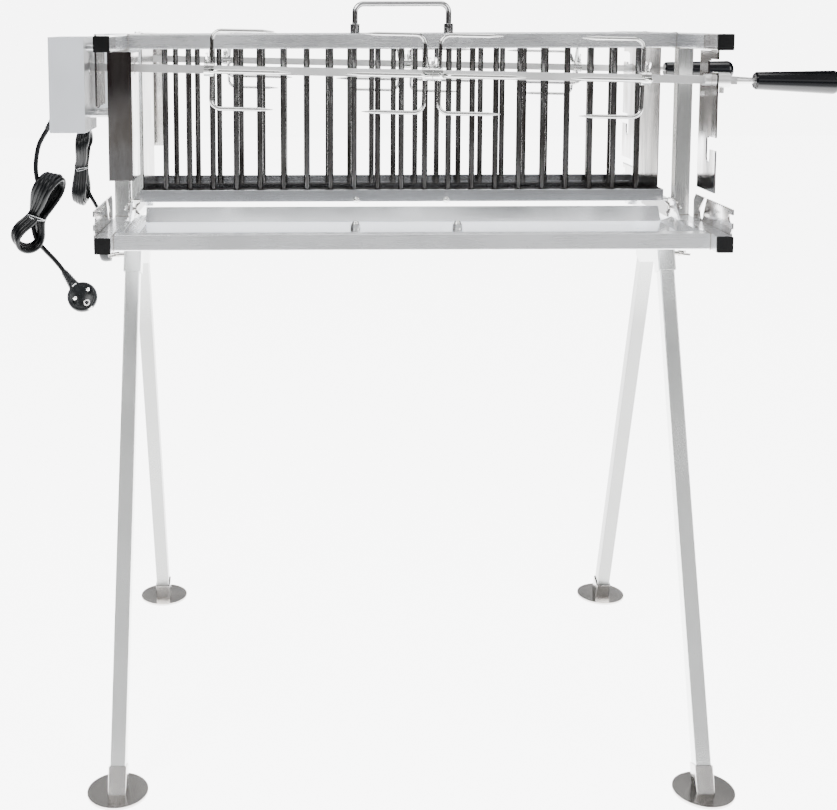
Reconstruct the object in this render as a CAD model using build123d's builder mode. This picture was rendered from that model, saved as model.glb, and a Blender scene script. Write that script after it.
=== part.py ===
"""Folding rotisserie spit roaster with a vertical charcoal grate, a spit on each side and splayed legs.

Frame: millimetres, +X to the spit handles, +Y to the rear, +Z up. The parts are made about the middle of
the side frames and saved about the middle of the whole roaster, motors and spit handles included.
"""
from build123d import *
from math import atan2, cos, degrees, hypot, pi, radians, sin, tan
import os

os.makedirs("parts", exist_ok=True)

# ---------------------------------------------------------------- driving dimensions
TUBE = 20.0            # square stainless tube, outside
WALL = 1.2             # tube wall
CORNER = 1.6           # tube corner radius
SHEET = 1.2            # pan and trough sheet
PLATE = 2.0            # bracket plate

ORIGIN_X = 47.0        # middle of the whole width, from the middle of the side frames
SIDE_X = 378.0         # side frame plane, tube centre
ARM_Z = 945.0          # top arms and top rails, tube centre
BASE_Z = 700.0         # base tubes and tray frames, tube centre
ARM_HALF = 200.0       # fixed arms end here, front and rear
NOSE_END = 256.0       # bracket tubes end here, with their caps
NOSE_GAP = 1.5         # parting line between a fixed arm and a bracket tube
CAP_T = 3.0            # end cap flange
CAP_PLUG = 10.0        # end cap plug inside the tube
POST_Y = 86.0          # corner posts, tube centre
GRATE_Y = 75.0         # rows of grate bars and top rails

BAR_D = 8.0            # grate bar
BAR_COUNT = 21
BAR_PITCH = 32.0

TROUGH_HALF_X = 355.0
TROUGH_HALF_Y = 87.0
TROUGH_FLOOR = 728.0
TROUGH_RIM = 744.0
FOOT_STRIP_Z = 734.0   # strip that the grate bars stand on

LEG_X = 371.0
LEG_FOOT_Y = 280.0     # leg axis meets the floor here
LEG_TOP_Y = 42.0       # and passes here
LEG_TOP_Z = 650.0      # at this height
SOCKET = 24.0          # leg socket tube, outside
SOCKET_WALL = 1.7
SOCKET_LOW_Z = 624.0
SOCKET_PLATE = 3.0
FOOT_D = 77.0
FOOT_T = 3.0
FOOT_SLEEVE = 23.2
FOOT_SLEEVE_L = 30.0

HANDLE_HALF = 63.0     # carry handle, between its legs' centres
HANDLE_TOP = 995.0
HANDLE_ROD = 7.5
HANDLE_BEND = 12.0

TRAY_X = 378.5         # tray side tubes, tube centre
TRAY_REAR = 97.0       # tray side tubes start here
TRAY_FRONT = 274.0     # and end here, with their caps
TRAY_RAIL = 240.0      # tray cross rail, tube centre
PIVOT_Y = 106.0        # tray hinge axis
PIVOT_Z = 722.0
PAN_HALF = 345.0       # flat floor of the pan
PAN_Z = 703.0
COMB_TOP = 742.0

SPIT_Y = 200.0
SPIT_Z_DRIVE = 915.0   # spit axis over the left side frame
SPIT_Z_REST = 897.0    # spit axis over the right side frame
SPIT = 10.0            # square spit rod
RING_D = 14.0          # bearing ring that lies in the slot
SLOT_W = 14.6
LOWER_SLOT_DROP = 97.0
FORK_R = 49.0
FORK_WIRE = 5.0

BOX_X0 = -445.0        # motor box
BOX_X1 = -401.0
BOX_HALF_Y = 45.0
BOX_Z0 = 836.0
BOX_Z1 = 953.5
MODULE = 1.25
GEAR_TEETH = 50
PINION_TEETH = 14

ARM_LOW = ARM_Z - TUBE / 2
ARM_HIGH = ARM_Z + TUBE / 2
BASE_LOW = BASE_Z - TUBE / 2
BASE_HIGH = BASE_Z + TUBE / 2
TUBE_IN = TUBE - 2 * WALL
SIDES = {"front": -1, "rear": 1}


def save(part, label):
    """Name a finished piece and write its STEP file."""
    placed = part.moved(Location((-ORIGIN_X, 0, 0)))
    placed.label = label
    export_step(placed, f"parts/{label}.step")


# ---------------------------------------------------------------- frame tubes
BASE_HALF = POST_Y + TUBE / 2
with BuildPart() as side_tubes:
    for level, half in ((ARM_Z, ARM_HALF), (BASE_Z, BASE_HALF)):
        with BuildSketch(Plane.XZ.offset(half)):
            with Locations((-SIDE_X, level), (SIDE_X, level)):
                RectangleRounded(TUBE, TUBE, CORNER)
                Rectangle(TUBE_IN, TUBE_IN, mode=Mode.SUBTRACT)
        extrude(amount=-2 * half)
save(side_tubes.part, "side_tubes")

with BuildPart() as corner_posts:
    with BuildSketch(Plane.XY.offset(BASE_HIGH)):
        with GridLocations(2 * SIDE_X, 2 * POST_Y, 2, 2):
            RectangleRounded(TUBE, TUBE, CORNER)
            Rectangle(TUBE_IN, TUBE_IN, mode=Mode.SUBTRACT)
    extrude(amount=ARM_LOW - BASE_HIGH)
save(corner_posts.part, "corner_posts")

RAIL_HALF = SIDE_X - TUBE / 2
with BuildPart() as top_rails:
    with BuildSketch(Plane.YZ.offset(-RAIL_HALF)):
        with Locations((-GRATE_Y, ARM_Z), (GRATE_Y, ARM_Z)):
            RectangleRounded(TUBE, TUBE, CORNER)
            Rectangle(TUBE_IN, TUBE_IN, mode=Mode.SUBTRACT)
    extrude(amount=2 * RAIL_HALF)
save(top_rails.part, "top_rails")

# ---------------------------------------------------------------- charcoal grate and ash trough
for end, y in (("front", -GRATE_Y), ("rear", GRATE_Y)):
    with BuildPart() as grate_bars:
        with BuildSketch(Plane.XY.offset(FOOT_STRIP_Z)):
            with Locations((0, y)):
                with GridLocations(BAR_PITCH, 0, BAR_COUNT, 1):
                    Circle(BAR_D / 2)
        extrude(amount=ARM_LOW - FOOT_STRIP_Z)
    save(grate_bars.part, f"{end}_grate_bars")

STRIP_T = 2.0
STRIP_W = 20.0
HANGER_LOW = 703.0
with BuildPart() as ash_trough:
    with BuildSketch(Plane.XY.offset(TROUGH_FLOOR)):
        Rectangle(2 * TROUGH_HALF_X, 2 * TROUGH_HALF_Y)
    extrude(amount=TROUGH_RIM - TROUGH_FLOOR)
    with BuildSketch(Plane.XY.offset(TROUGH_FLOOR + SHEET)):
        Rectangle(2 * (TROUGH_HALF_X - SHEET), 2 * (TROUGH_HALF_Y - SHEET))
    extrude(amount=TROUGH_RIM, mode=Mode.SUBTRACT)
    # strips under the two rows of bars
    with BuildSketch(Plane.XY.offset(FOOT_STRIP_Z - STRIP_T)):
        with Locations((0, TROUGH_HALF_Y - STRIP_W / 2), (0, STRIP_W / 2 - TROUGH_HALF_Y)):
            Rectangle(2 * TROUGH_HALF_X, STRIP_W)
    extrude(amount=STRIP_T)
    # hangers that hook over to the base tubes
    for side in (-1, 1):
        with BuildSketch(Plane.XZ.offset(TROUGH_HALF_Y - STRIP_W)):
            with BuildLine():
                Polyline(
                    (side * (TROUGH_HALF_X - SHEET), TROUGH_FLOOR),
                    (side * (RAIL_HALF - SHEET), TROUGH_FLOOR),
                    (side * (RAIL_HALF - SHEET), HANGER_LOW),
                    (side * RAIL_HALF, HANGER_LOW),
                    (side * RAIL_HALF, TROUGH_FLOOR + SHEET),
                    (side * (TROUGH_HALF_X - SHEET), TROUGH_FLOOR + SHEET),
                    close=True,
                )
            make_face()
        extrude(amount=-2 * (TROUGH_HALF_Y - STRIP_W))
save(ash_trough.part, "ash_trough")

PLATE_X = 352.0        # inner face of the end plates
with BuildPart() as grate_end_plates:
    for side in (-1, 1):
        with BuildSketch(Plane.YZ.offset(side * PLATE_X)):
            with Locations((0, (TROUGH_FLOOR + SHEET + ARM_HIGH) / 2)):
                Rectangle(2 * (GRATE_Y - TUBE / 2), ARM_HIGH - TROUGH_FLOOR - SHEET)
        extrude(amount=side * SHEET)
save(grate_end_plates.part, "grate_end_plates")

# ---------------------------------------------------------------- carry handle on the front top rail
with BuildPart() as carry_handle:
    with BuildLine(Plane.XZ.offset(GRATE_Y)) as handle_path:
        FilletPolyline(
            (-HANDLE_HALF, ARM_HIGH),
            (-HANDLE_HALF, HANDLE_TOP),
            (HANDLE_HALF, HANDLE_TOP),
            (HANDLE_HALF, ARM_HIGH),
            radius=HANDLE_BEND,
        )
    with BuildSketch(Plane.XY.offset(ARM_HIGH)):
        with Locations((-HANDLE_HALF, -GRATE_Y)):
            Circle(HANDLE_ROD / 2)
    sweep(path=handle_path.line)
    # ferrules welded round the feet of the rod
    with BuildSketch(Plane.XY.offset(ARM_HIGH)):
        with Locations((-HANDLE_HALF, -GRATE_Y), (HANDLE_HALF, -GRATE_Y)):
            Circle(HANDLE_ROD / 2 + 2.6)
    extrude(amount=13)
save(carry_handle.part, "carry_handle")

# ---------------------------------------------------------------- legs
LEG_ANGLE = degrees(atan2(LEG_FOOT_Y - LEG_TOP_Y, LEG_TOP_Z))
LEG_SLOPE = (LEG_FOOT_Y - LEG_TOP_Y) / LEG_TOP_Z
SOCKET_TOP = BASE_LOW - SOCKET_PLATE


def leg_y(z):
    """Distance of the leg axis from the middle plane at height z."""
    return LEG_FOOT_Y - LEG_SLOPE * z


def leg_plane(side_x, side_y, z):
    """Plane square to one leg's axis, at height z, with its normal up the leg."""
    up = (0, -side_y * sin(radians(LEG_ANGLE)), cos(radians(LEG_ANGLE)))
    return Plane(origin=(side_x * LEG_X, side_y * leg_y(z), z), x_dir=(1, 0, 0), z_dir=up)


BOLT_D = 6.0
WING_Z = 648.0
LEG_CORNERS = [(side_x, side_y) for side_x in (-1, 1) for side_y in (-1, 1)]
with BuildPart() as legs:
    for side_x, side_y in LEG_CORNERS:
        with BuildSketch(leg_plane(side_x, side_y, -TUBE)):
            RectangleRounded(TUBE, TUBE, CORNER)
            Rectangle(TUBE_IN, TUBE_IN, mode=Mode.SUBTRACT)
        extrude(amount=(SOCKET_TOP + 2 * TUBE) / cos(radians(LEG_ANGLE)))
    split(bisect_by=Plane.XY.offset(FOOT_T), keep=Keep.TOP)
    split(bisect_by=Plane.XY.offset(SOCKET_TOP - 0.5), keep=Keep.BOTTOM)
save(legs.part, "legs")

with BuildPart() as leg_feet:
    for side_x, side_y in LEG_CORNERS:
        with BuildSketch(leg_plane(side_x, side_y, -TUBE)):
            RectangleRounded(FOOT_SLEEVE, FOOT_SLEEVE, CORNER)
            Rectangle(TUBE + 0.4, TUBE + 0.4, mode=Mode.SUBTRACT)
        extrude(amount=(FOOT_SLEEVE_L + TUBE) / cos(radians(LEG_ANGLE)))
    split(bisect_by=Plane.XY.offset(FOOT_T / 2), keep=Keep.TOP)
    with BuildSketch():
        with GridLocations(2 * LEG_X, 2 * LEG_FOOT_Y, 2, 2):
            Circle(FOOT_D / 2)
    extrude(amount=FOOT_T)
save(leg_feet.part, "leg_feet")

with BuildPart() as leg_sockets:
    for side_x, side_y in LEG_CORNERS:
        with BuildSketch(leg_plane(side_x, side_y, SOCKET_LOW_Z)):
            RectangleRounded(SOCKET, SOCKET, CORNER)
            Rectangle(SOCKET - 2 * SOCKET_WALL, SOCKET - 2 * SOCKET_WALL, mode=Mode.SUBTRACT)
        extrude(amount=2 * (SOCKET_TOP - SOCKET_LOW_Z))
    split(bisect_by=Plane.XY.offset(SOCKET_TOP), keep=Keep.BOTTOM)
    with BuildSketch(Plane.XY.offset(SOCKET_TOP)):
        with Locations((-SIDE_X + 5, 0), (SIDE_X - 5, 0)):
            Rectangle(30, 2 * (LEG_TOP_Y + 6))
    extrude(amount=SOCKET_PLATE)
    # holes for the wing bolts
    for side_x, side_y in LEG_CORNERS:
        with BuildSketch(Plane.YZ.offset(side_x * (LEG_X + TUBE / 2))):
            with Locations((side_y * leg_y(WING_Z), WING_Z)):
                Circle(BOLT_D / 2 + 0.05)
        extrude(amount=side_x * 10, mode=Mode.SUBTRACT)
save(leg_sockets.part, "leg_sockets")

# ---------------------------------------------------------------- wing bolts


def wing_bolt(tip, direction, turn, shank, size=1.0):
    """Wing bolt whose shank starts at tip and runs along direction to its winged head.

    The wings spread along turn, a direction square to the shank.
    """
    base = Plane(origin=tip, x_dir=turn, z_dir=direction)
    wing_plane = Plane(origin=base.offset(shank + 3 * size).origin, x_dir=base.x_dir, z_dir=-base.y_dir)
    with BuildPart() as bolt:
        with BuildSketch(base):
            Circle(BOLT_D / 2 * size)
        extrude(amount=shank + 4 * size)
        with BuildSketch(base.offset(shank)):
            Circle(4.2 * size)
        extrude(amount=7 * size, taper=8)
        with BuildSketch(wing_plane):
            for side in (-1, 1):
                with BuildLine():
                    Polyline(
                        (side * 2 * size, 0),
                        (side * 9 * size, 1 * size),
                        (side * 14 * size, 9 * size),
                        (side * 11 * size, 11 * size),
                        (side * 6 * size, 6 * size),
                        (side * 2 * size, 4 * size),
                        close=True,
                    )
                make_face()
        extrude(amount=1.3 * size, both=True)
    return bolt.part


for side_x, side_y in LEG_CORNERS:
    leg_face = side_x * (LEG_X + TUBE / 2)
    tip = (leg_face, side_y * leg_y(WING_Z), WING_Z)
    leg_bolt = wing_bolt(tip, (side_x, 0, 0), (0, 1, 0), 10)
    save(leg_bolt, f"{'front' if side_y < 0 else 'rear'}_{'left' if side_x < 0 else 'right'}_leg_bolt")

LEAF = 3.0
LEAF_GAP = 0.3
TRAY_BOLT_SHANK = 2 * LEAF + LEAF_GAP + 0.3
TRAY_BOLT_SIZE = 0.65
TRAY_BOLT_HOLE = BOLT_D / 2 * TRAY_BOLT_SIZE + 0.05
with BuildPart() as tray_wing_bolts:
    for side_x, side_y in LEG_CORNERS:
        tip = (side_x * RAIL_HALF, side_y * PIVOT_Y, PIVOT_Z)
        tray_bolt = wing_bolt(tip, (-side_x, 0, 0), (0, 0.3, 0.954), TRAY_BOLT_SHANK, TRAY_BOLT_SIZE)
        add(tray_bolt)
save(tray_wing_bolts.part, "tray_wing_bolts")

# ---------------------------------------------------------------- tray hinges, fixed leaves
HINGE_R = 10.0
with BuildPart() as tray_hinge_brackets:
    for side_x in (-1, 1):
        for side_y in (-1, 1):
            with BuildSketch(Plane.YZ.offset(side_x * (RAIL_HALF - LEAF / 2))):
                with Locations((side_y * PIVOT_Y, PIVOT_Z)):
                    Circle(HINGE_R)
                with Locations((side_y * (PIVOT_Y + POST_Y - TUBE / 2) / 2, PIVOT_Z)):
                    Rectangle(PIVOT_Y - POST_Y + TUBE / 2, 2 * HINGE_R)
                with Locations((side_y * PIVOT_Y, PIVOT_Z)):
                    Circle(TRAY_BOLT_HOLE, mode=Mode.SUBTRACT)
            extrude(amount=LEAF / 2, both=True)
save(tray_hinge_brackets.part, "tray_hinge_brackets")

# ---------------------------------------------------------------- drip trays
LEAF_OUT = RAIL_HALF - LEAF - LEAF_GAP            # outer face of a tray's own leaf
TRAY_IN = TRAY_X - TUBE / 2                       # inner face of a tray's side tube
WELD_GAP = 0.1
FLANGE_Y = 144.0
PAN_FRONT = TRAY_RAIL - TUBE / 2 - WELD_GAP
PAN_REAR = 112.0
WING_RISE = 6.5
COMB_T = 2.0
COMB_REAR = 112.0
COMB_FRONT = 266.0
COMB_TEETH = 13
COMB_PITCH = 7.5


def tray_frame(side_y, label):
    """Two side tubes with hinge leaves, and a cross rail between them."""
    with BuildPart() as frame:
        with BuildSketch(Plane.XZ.offset(-side_y * TRAY_REAR)):
            with Locations((-TRAY_X, BASE_Z), (TRAY_X, BASE_Z)):
                RectangleRounded(TUBE, TUBE, CORNER)
                Rectangle(TUBE_IN, TUBE_IN, mode=Mode.SUBTRACT)
        extrude(amount=-side_y * (TRAY_FRONT - CAP_T - TRAY_REAR))
        with BuildSketch(Plane.YZ.offset(WELD_GAP - TRAY_IN)):
            with Locations((side_y * TRAY_RAIL, BASE_Z)):
                RectangleRounded(TUBE, TUBE, CORNER)
                Rectangle(TUBE_IN, TUBE_IN, mode=Mode.SUBTRACT)
        extrude(amount=2 * (TRAY_IN - WELD_GAP))
        for side_x in (-1, 1):
            with BuildSketch(Plane.YZ.offset(side_x * (LEAF_OUT - LEAF))):
                with Locations((side_y * PIVOT_Y, PIVOT_Z)):
                    Circle(HINGE_R)
                with BuildLine():
                    Polyline(
                        (side_y * (PIVOT_Y - HINGE_R), PIVOT_Z),
                        (side_y * (PIVOT_Y - 4), BASE_Z + 2),
                        (side_y * 140, BASE_LOW + 3),
                        (side_y * 140, BASE_HIGH - 2),
                        (side_y * PIVOT_Y, PIVOT_Z + HINGE_R),
                        close=True,
                    )
                make_face()
                with Locations((side_y * PIVOT_Y, PIVOT_Z)):
                    Circle(TRAY_BOLT_HOLE, mode=Mode.SUBTRACT)
            extrude(amount=side_x * LEAF)
            with BuildSketch(Plane.YZ.offset(side_x * (LEAF_OUT - LEAF))):
                with Locations((side_y * 131, BASE_Z + 0.5)):
                    Rectangle(18, 15)
            extrude(amount=side_x * (TRAY_IN - LEAF_OUT + LEAF))
    save(frame.part, f"{label}_tray_frame")


def tray_pan(side_y, label):
    """Shallow pan with a sloped back, sloped ends and end flanges on the side tubes."""
    with BuildPart() as pan:
        with BuildSketch(Plane.YZ.offset(-PAN_HALF)):
            with BuildLine():
                Polyline(
                    (side_y * PAN_FRONT, PAN_Z),
                    (side_y * PAN_FRONT, PAN_Z + SHEET),
                    (side_y * (PAN_REAR + 0.8), PAN_Z + SHEET),
                    (side_y * (PAN_REAR - 14), PAN_Z + 20),
                    (side_y * (PAN_REAR - 15.5), PAN_Z + 19.2),
                    (side_y * PAN_REAR, PAN_Z),
                    close=True,
                )
            make_face()
        extrude(amount=2 * PAN_HALF)
        for side_x in (-1, 1):
            with BuildSketch(Plane.XZ.offset(-side_y * PAN_REAR)):
                with BuildLine():
                    Polyline(
                        (side_x * (PAN_HALF - 2), PAN_Z),
                        (side_x * PAN_HALF, PAN_Z),
                        (side_x * (PAN_HALF + 14.5), PAN_Z + WING_RISE),
                        (side_x * (PAN_HALF + 14.5), PAN_Z + WING_RISE + SHEET),
                        (side_x * (PAN_HALF - 2), PAN_Z + SHEET),
                        close=True,
                    )
                make_face()
            extrude(amount=-side_y * (PAN_FRONT - PAN_REAR))
            flange_mid = side_x * (PAN_HALF + 14 + TRAY_IN - WELD_GAP) / 2
            with BuildSketch(Plane.XY.offset(PAN_Z + WING_RISE)):
                with Locations((flange_mid, side_y * (PAN_FRONT + FLANGE_Y) / 2)):
                    Rectangle(TRAY_IN - WELD_GAP - PAN_HALF - 14, PAN_FRONT - FLANGE_Y)
            extrude(amount=SHEET)
    save(pan.part, f"{label}_tray_pan")


def tray_combs(side_y, label):
    """Upright side plates with a toothed top edge, a hooked slot behind and a notch in front."""
    with BuildPart() as combs:
        for side_x in (-1, 1):
            start = TRAY_X + TUBE / 2 + WELD_GAP
            with BuildSketch(Plane.YZ.offset(side_x * start)):
                with BuildLine():
                    Polyline(
                        (side_y * COMB_REAR, BASE_LOW + 4),
                        (side_y * COMB_REAR, COMB_TOP - 8),
                        (side_y * (COMB_REAR + 8), COMB_TOP),
                        (side_y * COMB_FRONT, COMB_TOP),
                        (side_y * COMB_FRONT, COMB_TOP - 24),
                        (side_y * (COMB_FRONT - 4), COMB_TOP - 30),
                        (side_y * (COMB_FRONT - 4), BASE_LOW + 4),
                        close=True,
                    )
                make_face()
                with Locations((side_y * (COMB_FRONT - 10), COMB_TOP - 12)):
                    Circle(5, mode=Mode.SUBTRACT)
                with Locations((side_y * (COMB_FRONT - 4), COMB_TOP - 12)):
                    Rectangle(12, 10, mode=Mode.SUBTRACT)
                with Locations((side_y * 145, COMB_TOP - 22)):
                    Circle(9, mode=Mode.SUBTRACT)
                with BuildLine():
                    Polyline(
                        (side_y * 142, COMB_TOP - 29),
                        (side_y * 154, COMB_TOP - 22),
                        (side_y * 167, COMB_TOP + 1),
                        (side_y * 159, COMB_TOP + 1),
                        (side_y * 140, COMB_TOP - 15),
                        close=True,
                    )
                make_face(mode=Mode.SUBTRACT)
                first_tooth = 172.0
                for tooth in range(COMB_TEETH):
                    with Locations((side_y * (first_tooth + tooth * COMB_PITCH), COMB_TOP)):
                        Circle(2.3, mode=Mode.SUBTRACT)
            extrude(amount=side_x * COMB_T)
    save(combs.part, f"{label}_tray_combs")


def end_caps(centres, y_end, side_y, label):
    """Square plastic end caps, each a flange with a plug that enters its tube."""
    with BuildPart() as caps:
        with BuildSketch(Plane.XZ.offset(-side_y * y_end)):
            with Locations(*centres):
                RectangleRounded(TUBE, TUBE, CORNER)
        extrude(amount=side_y * CAP_T)
        with BuildSketch(Plane.XZ.offset(-side_y * (y_end - CAP_T))):
            with Locations(*centres):
                Rectangle(TUBE_IN - 0.4, TUBE_IN - 0.4)
        extrude(amount=side_y * CAP_PLUG)
    save(caps.part, label)


for end, side_y in SIDES.items():
    tray_frame(side_y, end)
    tray_pan(side_y, end)
    tray_combs(side_y, end)
    end_caps([(-TRAY_X, BASE_Z), (TRAY_X, BASE_Z)], TRAY_FRONT, side_y, f"{end}_tray_caps")

# ---------------------------------------------------------------- spit brackets
CORE = TUBE_IN - 0.4                               # telescoping core inside the fixed arm
CORE_REAR = 110.0
NOSE_REAR = ARM_HALF + NOSE_GAP
HANG_FRONT = 229.0
HANG_REAR = 160.0
SLIDE_CLEAR = 1.5
CHANNEL_OUT = 375.0
CHANNEL_IN = 345.0
CHANNEL_LOW = 775.0
CHEEK_LOW = 867.0
CHEEK_HIGH = 957.0
REST_LOW = 757.0
SPIT_HOLE = 18.0
CHEEK_T = 2.5
SPACER_HIGH = 940.0
SPACER_LOW = 858.0
SPACER_D = 8.4


def nose_tube(side_x, side_y):
    """Outer nose tube with its telescoping core, one solid, closed at the joint."""
    with BuildPart() as nose:
        with BuildSketch(Plane.XZ.offset(-side_y * NOSE_REAR)):
            with Locations((side_x * SIDE_X, ARM_Z)):
                RectangleRounded(TUBE, TUBE, CORNER)
        extrude(amount=-side_y * (NOSE_END - CAP_T - NOSE_REAR))
        with BuildSketch(Plane.XZ.offset(-side_y * (NOSE_END - CAP_T - CAP_PLUG - 1))):
            with Locations((side_x * SIDE_X, ARM_Z)):
                Rectangle(TUBE_IN, TUBE_IN)
        extrude(amount=-side_y * (CAP_PLUG + 2), mode=Mode.SUBTRACT)
        with BuildSketch(Plane.XZ.offset(-side_y * CORE_REAR)):
            with Locations((side_x * SIDE_X, ARM_Z)):
                Rectangle(CORE, CORE)
        extrude(amount=-side_y * (NOSE_REAR - CORE_REAR + 1))
    return nose.part


def rest_bracket(side_y, label):
    """Right-hand bracket: nose tube and hanging plate with two J-shaped spit slots."""
    nose = nose_tube(1, side_y)
    with BuildPart() as bracket:
        with BuildSketch(Plane.YZ.offset(SIDE_X - PLATE / 2)):
            with BuildLine():
                Polyline(
                    (side_y * HANG_REAR, REST_LOW),
                    (side_y * HANG_REAR, ARM_LOW - SLIDE_CLEAR),
                    (side_y * NOSE_REAR, ARM_LOW - SLIDE_CLEAR),
                    (side_y * NOSE_REAR, ARM_LOW),
                    (side_y * HANG_FRONT, ARM_LOW),
                    (side_y * HANG_FRONT, REST_LOW),
                    close=True,
                )
            make_face()
            for slot_z in (SPIT_Z_REST, SPIT_Z_REST - LOWER_SLOT_DROP):
                with Locations((side_y * SPIT_Y, slot_z)):
                    Circle(SLOT_W / 2, mode=Mode.SUBTRACT)
                with Locations((side_y * SPIT_Y, slot_z + 12)):
                    Rectangle(SLOT_W, 24, mode=Mode.SUBTRACT)
                with Locations((side_y * (SPIT_Y + HANG_FRONT + 2) / 2, slot_z + 18)):
                    Rectangle(HANG_FRONT - SPIT_Y + 4, 16, mode=Mode.SUBTRACT)
        extrude(amount=PLATE)
        add(nose)
    save(bracket.part, f"{label}_right_bracket")


def drive_bracket(side_y, label):
    """Left-hand bracket: nose tube, hanging channel and the cheek that carries the motor box."""
    nose = nose_tube(-1, side_y)
    with BuildPart() as bracket:
        # channel web, faces away from the grate
        with BuildSketch(Plane.XZ.offset(-side_y * HANG_FRONT)):
            with Locations((-(CHANNEL_OUT + CHANNEL_IN) / 2, (CHANNEL_LOW + ARM_LOW) / 2)):
                Rectangle(CHANNEL_OUT - CHANNEL_IN, ARM_LOW - CHANNEL_LOW)
        extrude(amount=-side_y * PLATE)
        # channel flanges
        drive_z = SPIT_Z_DRIVE
        high = ARM_LOW - SLIDE_CLEAR
        for face_x in (-CHANNEL_OUT, -CHANNEL_IN - PLATE):
            with BuildSketch(Plane.YZ.offset(face_x)):
                with Locations((side_y * (HANG_FRONT + HANG_REAR) / 2, (CHANNEL_LOW + high) / 2)):
                    Rectangle(HANG_FRONT - HANG_REAR, high - CHANNEL_LOW)
                with Locations((side_y * SPIT_Y, drive_z)):
                    Circle(SPIT_HOLE / 2, mode=Mode.SUBTRACT)
            extrude(amount=PLATE)
        # motor cheek outside the arm, relieved where the fixed arm slides past it
        with BuildSketch(Plane.YZ.offset(-SIDE_X - TUBE / 2 - CHEEK_T)):
            with Locations((side_y * (HANG_FRONT + HANG_REAR) / 2, (CHEEK_LOW + CHEEK_HIGH) / 2)):
                Rectangle(HANG_FRONT - HANG_REAR, CHEEK_HIGH - CHEEK_LOW)
            with Locations((side_y * SPIT_Y, drive_z)):
                Circle(SPIT_HOLE / 2, mode=Mode.SUBTRACT)
        extrude(amount=CHEEK_T)
        with BuildSketch(Plane.YZ.offset(-SIDE_X - TUBE / 2 - 0.5)):
            with Locations((side_y * (HANG_REAR - 1 + NOSE_REAR) / 2, (CHEEK_LOW + CHEEK_HIGH) / 2)):
                Rectangle(NOSE_REAR - HANG_REAR + 1, CHEEK_HIGH - CHEEK_LOW + 2)
        extrude(amount=0.5, mode=Mode.SUBTRACT)
        add(nose)
    save(bracket.part, f"{label}_left_bracket")


for end, side_y in SIDES.items():
    rest_bracket(side_y, end)
    drive_bracket(side_y, end)
    end_caps([(-SIDE_X, ARM_Z)], NOSE_END, side_y, f"{end}_left_bracket_cap")
    end_caps([(SIDE_X, ARM_Z)], NOSE_END, side_y, f"{end}_right_bracket_cap")

# ---------------------------------------------------------------- spits
SPIT_SLOPE = (SPIT_Z_REST - SPIT_Z_DRIVE) / (2 * SIDE_X)
SPIT_LEN = hypot(1, SPIT_SLOPE)
SPIT_DIR = (1 / SPIT_LEN, 0, SPIT_SLOPE / SPIT_LEN)
SPIT_UP = (-SPIT_DIR[2], 0, SPIT_DIR[0])
SPIT_MID_Z = (SPIT_Z_DRIVE + SPIT_Z_REST) / 2


def spit_plane(side_y, x):
    """Plane square to a spit at station x along it, its x axis up and its normal along the spit."""
    z = SPIT_MID_Z + SPIT_SLOPE * x
    return Plane(origin=(x, side_y * SPIT_Y, z), x_dir=SPIT_UP, z_dir=SPIT_DIR)


ROD_LEFT = -420.0
ROD_RIGHT = 410.0
NECK_RIGHT = 431.0
GRIP_RIGHT = 539.0
TANG = 24.0
RING_X = SIDE_X - 8    # bearing ring starts here
STOP_X = SIDE_X + 6    # stop collar starts here
STOP_D = 19.0
STOP_L = 17.0


def spit_rod(side_y, label):
    """Square rod, a tapered round neck and a tang inside the grip, with a bearing ring and a stop collar."""
    with BuildPart() as rod:
        with BuildSketch(spit_plane(side_y, ROD_LEFT)):
            Rectangle(SPIT, SPIT)
        extrude(amount=(ROD_RIGHT - ROD_LEFT) * SPIT_LEN)
        chamfer(rod.faces().sort_by(Axis.X)[0].edges(), 1.5)
        with BuildSketch(spit_plane(side_y, ROD_RIGHT)):
            Circle(SPIT * 0.48)
        with BuildSketch(spit_plane(side_y, NECK_RIGHT)):
            Circle(SPIT * 0.38)
        loft()
        with BuildSketch(spit_plane(side_y, NECK_RIGHT)):
            Circle(3)
        extrude(amount=TANG)
        # bearing ring that turns in the slot
        with BuildSketch(spit_plane(side_y, RING_X)):
            Circle(RING_D / 2)
        extrude(amount=(STOP_X - RING_X) * SPIT_LEN)
        # stop collar with its set screw
        stop = spit_plane(side_y, STOP_X)
        with BuildSketch(stop):
            Circle(STOP_D / 2)
        extrude(amount=STOP_L)
        screw = spit_plane(side_y, STOP_X + STOP_L / 2)
        with BuildSketch(Plane(origin=screw.origin, x_dir=screw.y_dir, z_dir=-screw.x_dir)):
            Circle(3)
        extrude(amount=STOP_D / 2 + 7)
    save(rod.part, f"{label}_spit_rod")


def spit_grip(side_y, label):
    """Turned grip, wider at its free end, with a blind hole for the tang."""
    base = spit_plane(side_y, NECK_RIGHT)
    length = GRIP_RIGHT - NECK_RIGHT
    with BuildPart() as grip:
        with BuildSketch(Plane(origin=base.origin, x_dir=base.z_dir, z_dir=-base.y_dir)):
            with BuildLine():
                Polyline((2, 0), (2, 9.4), (4, 11.2), (length * 0.55, 13.4), (length - 8, 15), (length - 8, 0))
                Line((length - 8, 0), (2, 0))
            make_face()
            with BuildLine():
                Line((length - 8.01, 15), (length - 8.01, 0))
                Line((length - 8.01, 0), (length, 0))
                Line((length, 0), (length, 9))
                RadiusArc((length, 9), (length - 8.01, 15), -9)
            make_face()
        revolve(axis=Axis(base.origin, base.z_dir))
        with BuildSketch(base):
            Circle(3)
        extrude(amount=TANG + 1, mode=Mode.SUBTRACT)
    save(grip.part, f"{label}_spit_handle")


for end, side_y in SIDES.items():
    spit_rod(side_y, end)
    spit_grip(side_y, end)

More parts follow.
